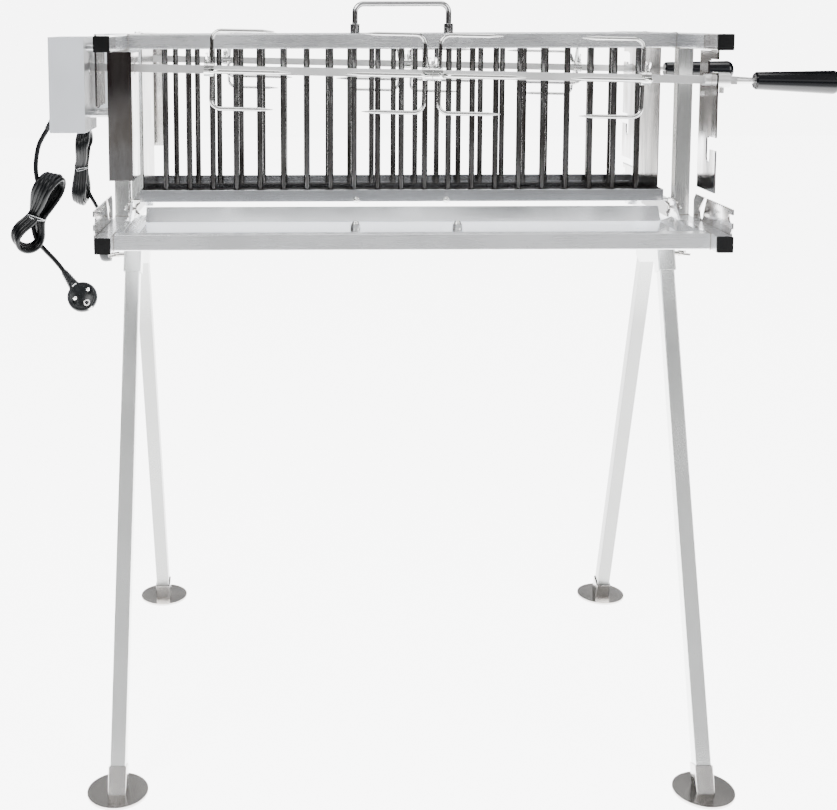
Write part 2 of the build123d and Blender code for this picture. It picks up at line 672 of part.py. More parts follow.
# ---------------------------------------------------------------- meat forks
HUB_L = 12.5
HUB_D = 17.0
FORK_BORE = SPIT + 0.6
TIP_L = 16.0
TINE_BEND = 12.0
TINE_SHIFT = 3.0       # tines sit this far from the hub's middle, the screw as far the other way
SCREW_SIZE = 0.8
SHORT_TINE = 62.0
LONG_TINE = 84.0
FORKS = {              # station of the hub's middle, and the way the tines point
    "first": (-251.5, 1),
    "second": (22.0, -1),
    "third": (35.2, 1),
    "fourth": (296.0, -1),
}


def meat_fork(side_y, x, facing, roll):
    """Hub with a square bore and thumb screw, and four bent wire tines with drawn-out points."""
    base = spit_plane(side_y, x)
    root = base.offset(TINE_SHIFT * facing)
    screw_seat = base.offset(-TINE_SHIFT * facing)
    with BuildPart() as body:
        with BuildSketch(base.offset(-HUB_L / 2)):
            Circle(HUB_D / 2)
        extrude(amount=HUB_L)
        for quarter in range(4):
            angle = radians(90 * quarter + roll)
            radial = root.x_dir * cos(angle) + root.y_dir * sin(angle)
            axis_out = root.z_dir * facing
            start = root.origin + radial * 6.6
            corner = root.origin + radial * FORK_R
            end = corner + axis_out * (SHORT_TINE if quarter % 2 == 0 else LONG_TINE)
            with BuildLine() as wire:
                FilletPolyline(start, corner, end, radius=TINE_BEND)
            with BuildSketch(Plane(origin=start, x_dir=axis_out, z_dir=radial)):
                Circle(FORK_WIRE / 2)
            sweep(path=wire.line)
            point = Plane(origin=end, x_dir=radial, z_dir=axis_out)
            with BuildSketch(point):
                Circle(FORK_WIRE / 2)
            with BuildSketch(point.offset(TIP_L)):
                Circle(0.5)
            loft()
        with BuildSketch(base.offset(-HUB_L / 2)):
            Rectangle(FORK_BORE, FORK_BORE)
        extrude(amount=HUB_L, mode=Mode.SUBTRACT)
        with BuildSketch(Plane(origin=screw_seat.origin, x_dir=screw_seat.y_dir, z_dir=screw_seat.x_dir)):
            Circle(BOLT_D / 2 * SCREW_SIZE + 0.05)
        extrude(amount=HUB_D, mode=Mode.SUBTRACT)
    tip = screw_seat.origin + screw_seat.x_dir * (SPIT / 2 + 0.15)
    screw = wing_bolt(tip, screw_seat.x_dir, screw_seat.y_dir, HUB_D / 2 - SPIT / 2 + 1, SCREW_SIZE)
    return [body.part, screw]


for fork_name, (fork_x, facing) in FORKS.items():
    save(Compound(children=meat_fork(-1, fork_x, facing, 0)), f"{fork_name}_fork")

REAR_ROLL = 28.0
rear_set = []
for fork_x, facing in FORKS.values():
    rear_set.extend(meat_fork(1, fork_x, facing, REAR_ROLL))
save(Compound(children=rear_set), "rear_forks")

# ---------------------------------------------------------------- motor boxes
BOX_WALL = 1.2
MOUNT_T = 1.5
GEAR_W = 8.0
GEAR_X0 = BOX_X1 - 16.0
DRIVE_X = BOX_X1 - 10.0
MOTOR_L = 18.0
MOTOR_X0 = BOX_X0 + BOX_WALL + 1.8
DRIVE_Z = SPIT_MID_Z + SPIT_SLOPE * DRIVE_X
CENTRES = MODULE * (GEAR_TEETH + PINION_TEETH) / 2
PINION_Z = DRIVE_Z - CENTRES
HUB_R = 10.0
DRIVE_BORE = SPIT + 0.9
ADDENDUM = 0.62 * MODULE
DEDENDUM = 1.0 * MODULE


def motor_box(side_y, label):
    """Five-sided cover, open towards the bracket."""
    with BuildPart() as box:
        with BuildSketch(Plane.XY.offset(BOX_Z0)):
            with Locations(((BOX_X0 + BOX_X1) / 2, side_y * SPIT_Y)):
                Rectangle(BOX_X1 - BOX_X0, 2 * BOX_HALF_Y)
        extrude(amount=BOX_Z1 - BOX_Z0)
        fillet(box.edges().filter_by(Axis.Z).group_by(Axis.X)[0], 1.5)
        with BuildSketch(Plane.XY.offset(BOX_Z0 + BOX_WALL)):
            with Locations(((BOX_X0 + BOX_X1 + BOX_WALL) / 2, side_y * SPIT_Y)):
                Rectangle(BOX_X1 - BOX_X0 - BOX_WALL, 2 * (BOX_HALF_Y - BOX_WALL))
        extrude(amount=BOX_Z1 - BOX_Z0 - 2 * BOX_WALL, mode=Mode.SUBTRACT)
    save(box.part, f"{label}_motor_cover")


def motor_unit(side_y, label):
    """Plate that closes the motor box, its four spacer rods, and the sealed gear motor screwed to it."""
    spit_y = side_y * SPIT_Y
    motor_face = MOTOR_X0 + MOTOR_L
    with BuildPart() as mount:
        with BuildSketch(Plane.YZ.offset(BOX_X1 - MOUNT_T)):
            with Locations((spit_y, (BOX_Z0 + BOX_Z1) / 2)):
                Rectangle(2 * (BOX_HALF_Y - BOX_WALL), BOX_Z1 - BOX_Z0 - 2 * BOX_WALL)
            with Locations((spit_y, DRIVE_Z)):
                Circle(HUB_R + 0.05, mode=Mode.SUBTRACT)
        extrude(amount=MOUNT_T)
        for rod_z, reach in ((SPACER_HIGH, -SIDE_X - TUBE / 2 - CHEEK_T), (SPACER_LOW, -CHANNEL_OUT)):
            with BuildSketch(Plane.YZ.offset(BOX_X1)):
                with Locations((side_y * (HANG_FRONT - 7), rod_z), (side_y * (HANG_REAR + 10), rod_z)):
                    Circle(SPACER_D / 2)
            extrude(amount=reach - BOX_X1)
    with BuildPart() as can:
        with BuildSketch(Plane.YZ.offset(MOTOR_X0)):
            with Locations((spit_y, PINION_Z)):
                Circle(25)
        extrude(amount=MOTOR_L)
        fillet(can.edges(), 1.2)
        with BuildSketch(Plane.YZ.offset(motor_face - 2)):
            with Locations((spit_y - 30, PINION_Z), (spit_y + 30, PINION_Z)):
                Circle(4.5)
            with Locations((spit_y, PINION_Z)):
                Rectangle(60, 7)
        extrude(amount=1.5)
        with BuildSketch(Plane.YZ.offset(motor_face - 1)):
            with Locations((spit_y - 30, PINION_Z), (spit_y + 30, PINION_Z)):
                Circle(2.5)
        extrude(amount=BOX_X1 - MOUNT_T - motor_face + 1)
        with BuildSketch(Plane.YZ.offset(motor_face)):
            with Locations((spit_y, PINION_Z)):
                Circle(2.55)
        extrude(amount=-5, mode=Mode.SUBTRACT)
    save(Compound(children=[mount.part, can.part]), f"{label}_motor_unit")


def toothed(centre_y, centre_z, teeth, x0, width, phase):
    """Spur gear blank with stub teeth, made on its own and returned."""
    pitch_r = MODULE * teeth / 2
    with BuildPart() as gear:
        with BuildSketch(Plane.YZ.offset(x0)):
            with Locations((centre_y, centre_z)):
                Circle(pitch_r - DEDENDUM)
                with PolarLocations(0, teeth, start_angle=phase):
                    Polygon(
                        (pitch_r - DEDENDUM - 0.5, -1.1),
                        (pitch_r + ADDENDUM, -0.5),
                        (pitch_r + ADDENDUM, 0.5),
                        (pitch_r - DEDENDUM - 0.5, 1.1),
                        align=None,
                    )
        extrude(amount=width)
    return gear.part


def drive_gear(side_y, label):
    """Output gear with the hub that runs in the mount plate and a square bore for the spit."""
    blank = toothed(side_y * SPIT_Y, DRIVE_Z, GEAR_TEETH, GEAR_X0, GEAR_W, 90)
    with BuildPart() as gear:
        add(blank)
        with BuildSketch(Plane.YZ.offset(GEAR_X0)):
            with Locations((side_y * SPIT_Y, DRIVE_Z)):
                Circle(HUB_R)
        extrude(amount=BOX_X1 + 1.5 - GEAR_X0)
        with BuildSketch(Plane.YZ.offset(GEAR_X0 - 1)):
            with Locations((side_y * SPIT_Y, DRIVE_Z)):
                Rectangle(DRIVE_BORE, DRIVE_BORE)
        extrude(amount=BOX_X1 + 4 - GEAR_X0, mode=Mode.SUBTRACT)
    save(gear.part, f"{label}_drive_gear")


def motor_pinion(side_y, label):
    """Motor shaft with its pinion."""
    blank = toothed(side_y * SPIT_Y, PINION_Z, PINION_TEETH, GEAR_X0 - 1, GEAR_W + 2, 90 + 180 / PINION_TEETH)
    with BuildPart() as pinion:
        add(blank)
        with BuildSketch(Plane.YZ.offset(MOTOR_X0 + MOTOR_L - 4)):
            with Locations((side_y * SPIT_Y, PINION_Z)):
                Circle(2.5)
        extrude(amount=GEAR_X0 + GEAR_W - MOTOR_X0 - MOTOR_L + 5)
    save(pinion.part, f"{label}_motor_pinion")


for end, side_y in SIDES.items():
    motor_box(side_y, end)
    motor_unit(side_y, end)
    drive_gear(side_y, end)
    motor_pinion(side_y, end)

# ---------------------------------------------------------------- mains cords
CORD_D = 6.0
EXIT_Z = 853.0
RELIEF_L = 20.0
RELIEF_DIR = Vector(-0.6, 0, -0.8)
LAST_RUN = 13.0
PLUG_R = 19.0
PLUG_T = 17.0
PLUG_REACH = 43.0      # from the middle of the plug to the end of its sleeve
PIN_PITCH = 19.0


def cord_exit(side_y):
    """Point on the motor box where a cord comes out."""
    return Vector(BOX_X0, side_y * SPIT_Y, EXIT_Z)


def strain_relief(side_y, label):
    """Tapered sleeve on the motor box."""
    base = Plane(origin=cord_exit(side_y), x_dir=(0, 1, 0), z_dir=RELIEF_DIR)
    with BuildPart() as sleeve:
        with BuildSketch(base.offset(-6)):
            Circle(5.6)
        with BuildSketch(base.offset(RELIEF_L)):
            Circle(CORD_D / 2 + 0.6)
        loft()
        split(bisect_by=Plane.YZ.offset(BOX_X0), keep=Keep.BOTTOM)
    save(sleeve.part, f"{label}_cord_relief")


def cord_tube(points, label):
    """Round tube along straight runs joined by tangent arcs, as large as the runs allow."""
    runs = [end - start for start, end in zip(points, points[1:])]
    radii = []
    for before, after in zip(runs, runs[1:]):
        half_turn = radians(before.get_angle(after)) / 2
        radii.append(0.45 * min(before.length, after.length) / tan(half_turn))
    with BuildPart() as tube:
        with BuildLine() as path:
            FilletPolyline(*points, radius=radii)
        with BuildSketch(Plane(origin=points[0], z_dir=runs[0])):
            Circle(CORD_D / 2)
        sweep(path=path.wire())
    length = path.wire().length
    fill = tube.part.volume / (pi * CORD_D**2 / 4 * length)
    rounded = [round(radius) for radius in radii]
    print(f"{label}: length {length:.1f}, bend radii {rounded}, volume over section times length {fill:.4f}")
    save(tube.part, label)


def hank(top, bottom, stations, label, ear=None):
    """Waisted bundle from top to bottom: stations are places along it with half widths across and deep."""
    axis = bottom - top
    base = Plane(origin=top, x_dir=Vector(0, 1, 0).cross(axis), z_dir=axis)
    with BuildPart() as bundle:
        for along, half_across, half_deep in stations:
            with BuildSketch(base.offset(along * axis.length)):
                Ellipse(half_across, half_deep)
        loft()
        if ear:
            # one loop fanned out from the others
            start, end = ear
            ear_base = Plane(origin=start, x_dir=Vector(0, 1, 0).cross(end - start), z_dir=end - start)
            reach = (end - start).length
            for share, half_across, half_deep in ((0, 4, 6), (0.6, 4, 13), (0.9, 4, 12), (1, 2.5, 6)):
                with BuildSketch(ear_base.offset(share * reach)):
                    Ellipse(half_across, half_deep)
            loft()
    save(bundle.part, label)


def mains_plug(face, label):
    """Side-entry two-pin plug; the plane lies in its face, x towards the side away from the cord."""
    middle = face.offset(-PLUG_T / 2)
    across = face.y_dir
    with BuildPart() as plug:
        with BuildSketch(face.offset(-PLUG_T)):
            Circle(PLUG_R)
        extrude(amount=PLUG_T)
        fillet(plug.edges(), 2)
        with BuildSketch(Plane(origin=middle.origin, x_dir=across, z_dir=-face.x_dir)):
            RectangleRounded(20, 15, 5)
        extrude(amount=PLUG_R + 3)
        neck = Plane(origin=middle.origin, x_dir=across, z_dir=-face.x_dir).offset(PLUG_R + 3)
        with BuildSketch(neck):
            Circle(6.2)
        with BuildSketch(neck.offset(PLUG_REACH - PLUG_R - 3)):
            Circle(CORD_D / 2 + 0.8)
        loft()
        with BuildSketch(face.offset(-1)):
            with Locations((0, -PIN_PITCH / 2), (0, PIN_PITCH / 2)):
                Circle(2.4)
        extrude(amount=20)
        with BuildSketch(face.offset(-12)):
            with Locations((10, 0)):
                Circle(2.5)
        extrude(amount=14, mode=Mode.SUBTRACT)
    save(plug.part, label)


def plug_end(face):
    """Last two points of a cord that runs into the sleeve of a plug."""
    end = face.offset(-PLUG_T / 2).origin - face.x_dir * PLUG_REACH
    return [end - face.x_dir * LAST_RUN, end]


def relief_end(side_y):
    """First two points of a cord as it leaves its strain relief."""
    start = cord_exit(side_y) + RELIEF_DIR * RELIEF_L
    return [start, start + RELIEF_DIR * LAST_RUN]


front_plug_face = Plane(origin=(-415.6, -207.6, 624.4), x_dir=(0.60, -0.28, -0.75), z_dir=(0.1, -0.9, 0.4))
front_lead = [Vector(-471, -200, 806), Vector(-473, -200, 783), Vector(-468, -200, 761)]
front_tail = [Vector(-478, -192, 697), Vector(-467, -185, 681)]
strain_relief(-1, "front")
cord_tube(relief_end(-1) + front_lead, "front_cord_lead")
hank(
    Vector(-446, -200, 783),
    Vector(-488, -200, 679),
    [(0, 7, 7), (0.08, 15, 13), (0.22, 20, 17), (0.54, 12.5, 12), (0.8, 20, 17), (0.94, 15, 12), (1, 7, 6)],
    "front_cord_hank",
)
cord_tube(front_tail + plug_end(front_plug_face), "front_cord_tail")
mains_plug(front_plug_face, "front_cord_plug")

rear_plug_face = Plane(origin=(-439.5, 200, 612.4), x_dir=(0.1, 0, -0.995), z_dir=(0.995, 0, 0.1))
rear_lead = [Vector(-472, 203, 812), Vector(-476, 206, 797)]
rear_tail = [Vector(-479, 200, 720), Vector(-470.5, 200, 700), Vector(-460.5, 200, 682)]
strain_relief(1, "rear")
cord_tube(relief_end(1) + rear_lead, "rear_cord_lead")
hank(
    Vector(-481, 200, 803),
    Vector(-485, 200, 682),
    [(0, 7, 9), (0.08, 12, 17), (0.2, 14, 20), (0.5, 10.5, 11.5), (0.8, 12.5, 20), (0.93, 10.5, 16), (1, 6, 8)],
    "rear_cord_hank",
    ear=(Vector(-478, 200, 757), Vector(-452, 200, 802)),
)
cord_tube(rear_tail + plug_end(rear_plug_face), "rear_cord_tail")
mains_plug(rear_plug_face, "rear_cord_plug")
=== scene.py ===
"""Looks of a folding rotisserie spit roaster. Metres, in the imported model's own frame."""
from math import cos, pi, radians, sin
import random
import bmesh
import bpy
from mathutils import Matrix, Vector


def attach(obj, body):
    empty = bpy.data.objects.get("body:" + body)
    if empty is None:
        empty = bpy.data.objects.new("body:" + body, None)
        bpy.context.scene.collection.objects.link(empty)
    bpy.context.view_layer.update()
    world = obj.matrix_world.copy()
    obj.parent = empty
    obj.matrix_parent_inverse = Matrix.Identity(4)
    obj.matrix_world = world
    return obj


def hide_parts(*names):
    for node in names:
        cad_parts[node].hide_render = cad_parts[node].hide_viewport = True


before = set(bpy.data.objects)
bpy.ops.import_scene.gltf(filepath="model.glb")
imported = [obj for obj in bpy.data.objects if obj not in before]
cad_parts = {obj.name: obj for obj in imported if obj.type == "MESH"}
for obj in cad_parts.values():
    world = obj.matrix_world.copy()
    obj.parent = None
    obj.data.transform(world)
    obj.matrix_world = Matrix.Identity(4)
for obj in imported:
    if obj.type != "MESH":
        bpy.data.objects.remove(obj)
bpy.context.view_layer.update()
ENDS = {"front": -1, "rear": 1}


# ---------------------------------------------------------------- camera
SENSOR = 36
LENS = 55.1
LENS_SHIFT = (0.146, -0.2955)
CAMERA_PLACE = (-0.1845, -1.811, 0.971)
PITCH_DOWN = 6.05
ROLL = 0.19
YAW = 0.15


def make_camera():
    """Camera left of the roaster's middle, just below its top, tipped down a little, with a shifted lens."""
    data = bpy.data.cameras.new("camera")
    data.sensor_width = SENSOR
    data.lens = LENS
    data.shift_x, data.shift_y = LENS_SHIFT
    data.clip_start = 0.05
    camera = bpy.data.objects.new("camera", data)
    camera.location = CAMERA_PLACE
    camera.rotation_euler = (radians(90 - PITCH_DOWN), radians(ROLL), radians(YAW))
    bpy.context.scene.collection.objects.link(camera)
    bpy.context.scene.camera = camera


make_camera()


# ---------------------------------------------------------------- shared mesh helpers
def add_object(name, data, body):
    """Link a piece and let it ride on its body."""
    piece = bpy.data.objects.new(name, data)
    bpy.context.scene.collection.objects.link(piece)
    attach(piece, body)
    return piece


def mesh_from(name, build, smooth=True):
    """Mesh filled by build(bm)."""
    bm = bmesh.new()
    build(bm)
    bmesh.ops.recalc_face_normals(bm, faces=bm.faces)
    mesh = bpy.data.meshes.new(name)
    bm.to_mesh(mesh)
    bm.free()
    for polygon in mesh.polygons:
        polygon.use_smooth = smooth
    return mesh


def lathe(bm, profile, matrix, segments=40):
    """Turn (radius, height) points round matrix's z axis; ends on the axis are closed."""
    rings = []
    for radius, height in profile:
        if radius < 1e-6:
            rings.append([bm.verts.new(matrix @ Vector((0, 0, height)))])
            continue
        ring = []
        for step in range(segments):
            turn = 2 * pi * step / segments
            ring.append(bm.verts.new(matrix @ Vector((radius * cos(turn), radius * sin(turn), height))))
        rings.append(ring)
    for low, high in zip(rings, rings[1:]):
        for step in range(segments):
            nxt = (step + 1) % segments
            if len(low) == 1:
                bm.faces.new((low[0], high[step], high[nxt]))
            elif len(high) == 1:
                bm.faces.new((low[step], low[nxt], high[0]))
            else:
                bm.faces.new((low[step], low[nxt], high[nxt], high[step]))


def prism(bm, outline, matrix, depth):
    """Extrude a flat outline along matrix's z axis."""
    low = [bm.verts.new(matrix @ Vector((x, y, 0))) for x, y in outline]
    high = [bm.verts.new(matrix @ Vector((x, y, depth))) for x, y in outline]
    bm.faces.new(low)
    bm.faces.new(high)
    for step in range(len(outline)):
        nxt = (step + 1) % len(outline)
        bm.faces.new((low[step], low[nxt], high[nxt], high[step]))


def frame_matrix(origin, x_dir, z_dir):
    """Matrix with its z axis along z_dir and x axis as near x_dir as that allows."""
    z = Vector(z_dir).normalized()
    y = z.cross(Vector(x_dir)).normalized()
    x = y.cross(z)
    matrix = Matrix((x, y, z)).transposed().to_4x4()
    matrix.translation = Vector(origin)
    return matrix


# ---------------------------------------------------------------- materials
def new_material(name):
    """Material with its node tree and its shader."""
    material = bpy.data.materials.new(name)
    material.use_nodes = True
    tree = material.node_tree
    return material, tree, tree.nodes["Principled BSDF"]


def noise(tree, scale, stretch=(1, 1, 1), detail=3.0):
    """Noise in the object's own space, drawn out along an axis by a small stretch value."""
    coords = tree.nodes.new("ShaderNodeTexCoord")
    mapping = tree.nodes.new("ShaderNodeMapping")
    mapping.inputs["Scale"].default_value = stretch
    texture = tree.nodes.new("ShaderNodeTexNoise")
    texture.inputs["Scale"].default_value = scale
    texture.inputs["Detail"].default_value = detail
    tree.links.new(coords.outputs["Object"], mapping.inputs["Vector"])
    tree.links.new(mapping.outputs["Vector"], texture.inputs["Vector"])
    return texture.outputs["Fac"]


def ramp(tree, value, stops):
    """Colour ramp with (place, colour) stops."""
    node = tree.nodes.new("ShaderNodeValToRGB")
    elements = node.color_ramp.elements
    while len(elements) < len(stops):
        elements.new(0.5)
    for element, (place, colour) in zip(elements, stops):
        element.position = place
        element.color = (*colour, 1)
    tree.links.new(value, node.inputs["Fac"])
    return node.outputs["Color"]


def fade(tree, value, start, full, low, high):
    """Straight change from low at start to high at full."""
    node = tree.nodes.new("ShaderNodeMapRange")
    node.inputs["From Min"].default_value = start
    node.inputs["From Max"].default_value = full
    node.inputs["To Min"].default_value = low
    node.inputs["To Max"].default_value = high
    tree.links.new(value, node.inputs["Value"])
    return node.outputs["Result"]


def spread(tree, value, low, high):
    """Noise from about 0.3 to 0.7 spread over low to high."""
    return fade(tree, value, 0.3, 0.7, low, high)


def combine(tree, operation, first, second=None):
    """Math node over one or two values."""
    node = tree.nodes.new("ShaderNodeMath")
    node.operation = operation
    tree.links.new(first, node.inputs[0])
    if second is not None:
        tree.links.new(second, node.inputs[1])
    return node.outputs["Value"]


def mix_colours(tree, first, second, factor=None, blend="MIX"):
    """Colour mix; a factor that isn't given is 1."""
    node = tree.nodes.new("ShaderNodeMix")
    node.data_type = "RGBA"
    node.blend_type = blend
    tree.links.new(first, node.inputs["A"])
    if isinstance(second, tuple):
        node.inputs["B"].default_value = (*second, 1)
    else:
        tree.links.new(second, node.inputs["B"])
    if factor is None:
        node.inputs["Factor"].default_value = 1.0
    else:
        tree.links.new(factor, node.inputs["Factor"])
    return node.outputs["Result"]


def position(tree, space="Object"):
    """The X, Y and Z of a texture space."""
    coords = tree.nodes.new("ShaderNodeTexCoord")
    split = tree.nodes.new("ShaderNodeSeparateXYZ")
    tree.links.new(coords.outputs[space], split.inputs["Vector"])
    return split.outputs


def bump(tree, height, strength, distance, rounding=0.0):
    """Bump node, over rounded edges if asked."""
    node = tree.nodes.new("ShaderNodeBump")
    node.inputs["Strength"].default_value = strength
    node.inputs["Distance"].default_value = distance
    tree.links.new(height, node.inputs["Height"])
    if rounding:
        edge = tree.nodes.new("ShaderNodeBevel")
        edge.samples = 4
        edge.inputs["Radius"].default_value = rounding
        tree.links.new(edge.outputs["Normal"], node.inputs["Normal"])
    return node.outputs["Normal"]


ALONG = {"x": (0.02, 1, 1), "y": (1, 0.02, 1), "z": (1, 1, 0.02), "": (1, 1, 1)}


def steel(name, tint, rough, brushed="", grain=0.12, rounding=0.0008, smudge=0.08, stain=0.0, metal=1.0):
    """Stainless steel: brushing along one axis, faint smudges, stains, and edges slightly rounded."""
    material, tree, shader = new_material(name)
    shader.inputs["Metallic"].default_value = metal
    patches = noise(tree, 9, detail=4)
    dull = [c * (0.92 - stain) for c in tint]
    colour = ramp(tree, patches, [(0.32, dull), (0.62 - stain * 0.2, tint)])
    tree.links.new(colour, shader.inputs["Base Color"])
    streaks = noise(tree, 900, ALONG[brushed], 2)
    smudged = spread(tree, patches, rough - smudge / 2, rough + smudge / 2)
    roughness = combine(tree, "ADD", smudged, spread(tree, streaks, -0.03, 0.03))
    tree.links.new(roughness, shader.inputs["Roughness"])
    tree.links.new(bump(tree, streaks, grain, 0.0002, rounding), shader.inputs["Normal"])
    return material


def overlay(material, colour, share):
    """Mix a colour over a material's base colour."""
    tree = material.node_tree
    base = tree.nodes["Principled BSDF"].inputs["Base Color"]
    tree.links.new(mix_colours(tree, base.links[0].from_socket, colour, share), base)
    return material


def leg_steel():
    """Brushed tube steel, painted darker towards the rear as a stand-in for shade."""
    material = steel("leg_steel", (0.76, 0.77, 0.76), 0.24, "z", metal=0.9)
    tree = material.node_tree
    return overlay(material, (0.16, 0.16, 0.155), fade(tree, position(tree)["Y"], -0.02, 0.08, 0, 0.8))


def trough_steel():
    """Sheet steel, painted dark between the trough's long walls as painted shade, and bright on the outer
    lips.
    """
    material = steel("trough_steel", (0.80, 0.82, 0.85), 0.22, "x", 0.06)
    tree = material.node_tree
    away = combine(tree, "ABSOLUTE", position(tree)["Y"])
    # painted shade: near-black mixed over the steel between the trough's long walls
    return overlay(material, (0.06, 0.055, 0.05), fade(tree, away, 0.0865, 0.085, 0, 0.9))


def heat_stained(name, tint, burnt, rough):
    """Polished steel with brown and grey heat stains drawn out along z."""
    material, tree, shader = new_material(name)
    shader.inputs["Metallic"].default_value = 1.0
    patches = noise(tree, 60, (1, 1, 0.25), 5)
    between = [(a + b) / 2 for a, b in zip(tint, burnt)]
    colour = ramp(tree, patches, [(0.34, burnt), (0.5, between), (0.66, tint)])
    tree.links.new(colour, shader.inputs["Base Color"])
    tree.links.new(spread(tree, patches, rough + 0.08, rough), shader.inputs["Roughness"])
    tree.links.new(bump(tree, patches, 0.05, 0.0006, 0.0005), shader.inputs["Normal"])
    return material


def moulded(name, colour, rough, grain=0.05, scale=700, coat=0.0, shine=0.5):
    """Moulded plastic or rubber with a fine surface grain."""
    material, tree, shader = new_material(name)
    patches = noise(tree, 30, detail=3)
    tint = ramp(tree, patches, [(0.3, colour), (0.7, [c * 1.5 + 0.0005 for c in colour])])
    tree.links.new(tint, shader.inputs["Base Color"])
    shader.inputs["Specular IOR Level"].default_value = shine
    tree.links.new(spread(tree, patches, rough * 0.85, rough * 1.15), shader.inputs["Roughness"])
    tree.links.new(bump(tree, noise(tree, scale), grain, 0.0002, 0.0006), shader.inputs["Normal"])
    shader.inputs["Coat Weight"].default_value = coat
    shader.inputs["Coat Roughness"].default_value = 0.08
    return material


MATERIALS = {
    "tube_x": steel("tube_brushed_x", (0.80, 0.81, 0.83), 0.28, "x", metal=0.8),
    "tube_y": steel("tube_brushed_y", (0.72, 0.73, 0.75), 0.24, "y"),
    "tube_z": steel("tube_brushed_z", (0.76, 0.77, 0.76), 0.24, "z", metal=0.9),
    "leg": leg_steel(),
    "trough": trough_steel(),
    "spit": steel("spit_rod_steel", (0.86, 0.86, 0.86), 0.34, "x", 0.05, 0.0005, metal=0.75),
    "sheet": steel("sheet_steel", (0.84, 0.86, 0.89), 0.20, "x", 0.06),
    "box_sheet": steel("motor_box_steel", (0.78, 0.81, 0.86), 0.38, "", 0.03, 0.0008, 0.04, metal=0.5),
    "polished": heat_stained("polished_steel", (0.72, 0.72, 0.73), (0.42, 0.39, 0.37), 0.06),
    "sooty": heat_stained("sooty_steel", (0.30, 0.28, 0.26), (0.05, 0.045, 0.04), 0.14),
    "rod": heat_stained("bright_rod", (0.42, 0.42, 0.42), (0.12, 0.11, 0.105), 0.14),
    "handle_rod": steel("handle_rod", (0.74, 0.74, 0.75), 0.16, "", 0.03, 0.0004),
    "fork": steel("fork_wire", (0.92, 0.92, 0.91), 0.14, "", 0.03, 0.0004),
    "hardware": steel("cast_bright_hardware", (0.62, 0.60, 0.58), 0.20, "", 0.25, 0.0006, 0.1, 0.2),
    "zinc": steel("zinc_plate", (0.62, 0.63, 0.64), 0.30, "", 0.15),
    "gear": steel("gear_steel", (0.5, 0.5, 0.5), 0.3, "", 0.1),
    "weld": steel("weld_bead", (0.4, 0.38, 0.36), 0.35, "", 0.5),
    "nickel": steel("plug_nickel", (0.9, 0.9, 0.88), 0.15, "", 0.02, 0.0003),
    "cap": moulded("cap_plastic", (0.0015, 0.0015, 0.0017), 0.45, shine=0.2),
    "handle": moulded("handle_plastic", (0.0015, 0.002, 0.003), 0.14, 0.02, 300, 0.3, 0.4),
    "cord": moulded("cord_sheath", (0.0015, 0.002, 0.0025), 0.30, 0.06, 900, shine=0.3),
    "rubber": moulded("plug_rubber", (0.002, 0.003, 0.004), 0.36, 0.08, 900, shine=0.35),
}

NODE_MATERIAL = {
    "side_tubes": "tube_y",
    "corner_posts": "tube_z",
    "top_rails": "tube_x",
    "front_grate_bars": "rod",
    "rear_grate_bars": "rod",
    "ash_trough": "trough",
    "grate_end_plates": "sooty",
    "carry_handle": "handle_rod",
    "legs": "leg",
    "leg_feet": "hardware",
    "leg_sockets": "tube_z",
    "tray_hinge_brackets": "hardware",
    "tray_wing_bolts": "hardware",
    "rear_forks": "fork",
}
for ordinal in ("first", "second", "third", "fourth"):
    NODE_MATERIAL[f"{ordinal}_fork"] = "fork"
for end in ENDS:
    NODE_MATERIAL.update(
        {
            f"{end}_tray_frame": "tube_x",
            f"{end}_tray_pan": "sheet",
            f"{end}_tray_combs": "polished",
            f"{end}_tray_caps": "cap",
            f"{end}_left_bracket": "polished",
            f"{end}_right_bracket": "polished",
            f"{end}_left_bracket_cap": "cap",
            f"{end}_right_bracket_cap": "cap",
            f"{end}_motor_cover": "box_sheet",
            f"{end}_motor_unit": "zinc",
            f"{end}_drive_gear": "gear",
            f"{end}_motor_pinion": "gear",
            f"{end}_spit_rod": "spit",
            f"{end}_spit_handle": "handle",
            f"{end}_left_leg_bolt": "hardware",
            f"{end}_right_leg_bolt": "hardware",
            f"{end}_cord_relief": "rubber",
        }
    )


def paint_nodes():
    """Give each carried-over CAD node its material."""
    for node, key in NODE_MATERIAL.items():
        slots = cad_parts[node].data.materials
        slots.clear()
        slots.append(MATERIALS[key])


def paint(piece, key):
    """Material slot of a new piece."""
    piece.data.materials.append(MATERIALS[key])
    return piece


# ---------------------------------------------------------------- mains cords
CORD_D = 0.006
TIE_R = 0.00045
UNIT_BEVEL = 1.0                   # the points' radii give the real thickness
SPIT_Y = 0.200
EXIT = Vector((-0.492, 0, 0.853))
RELIEF_L = 0.020
RELIEF_DIR = Vector((-0.6, 0, -0.8))
LAST_RUN = 0.013
PLUG_T = 0.017
PLUG_R = 0.019
PLUG_REACH = 0.043
PIN_PITCH = 0.019
FOLDS = 5


def exit_point(side):
    """Where a cord leaves its motor box."""
    return EXIT + Vector((0, side * SPIT_Y, 0))


def plug_end(face):
    """Last two points of a cord that runs into the sleeve of a plug."""
    along = face.to_3x3().col[0]
    end = face @ Vector((0, 0, -PLUG_T / 2)) - along * PLUG_REACH
    return [end - along * LAST_RUN, end]


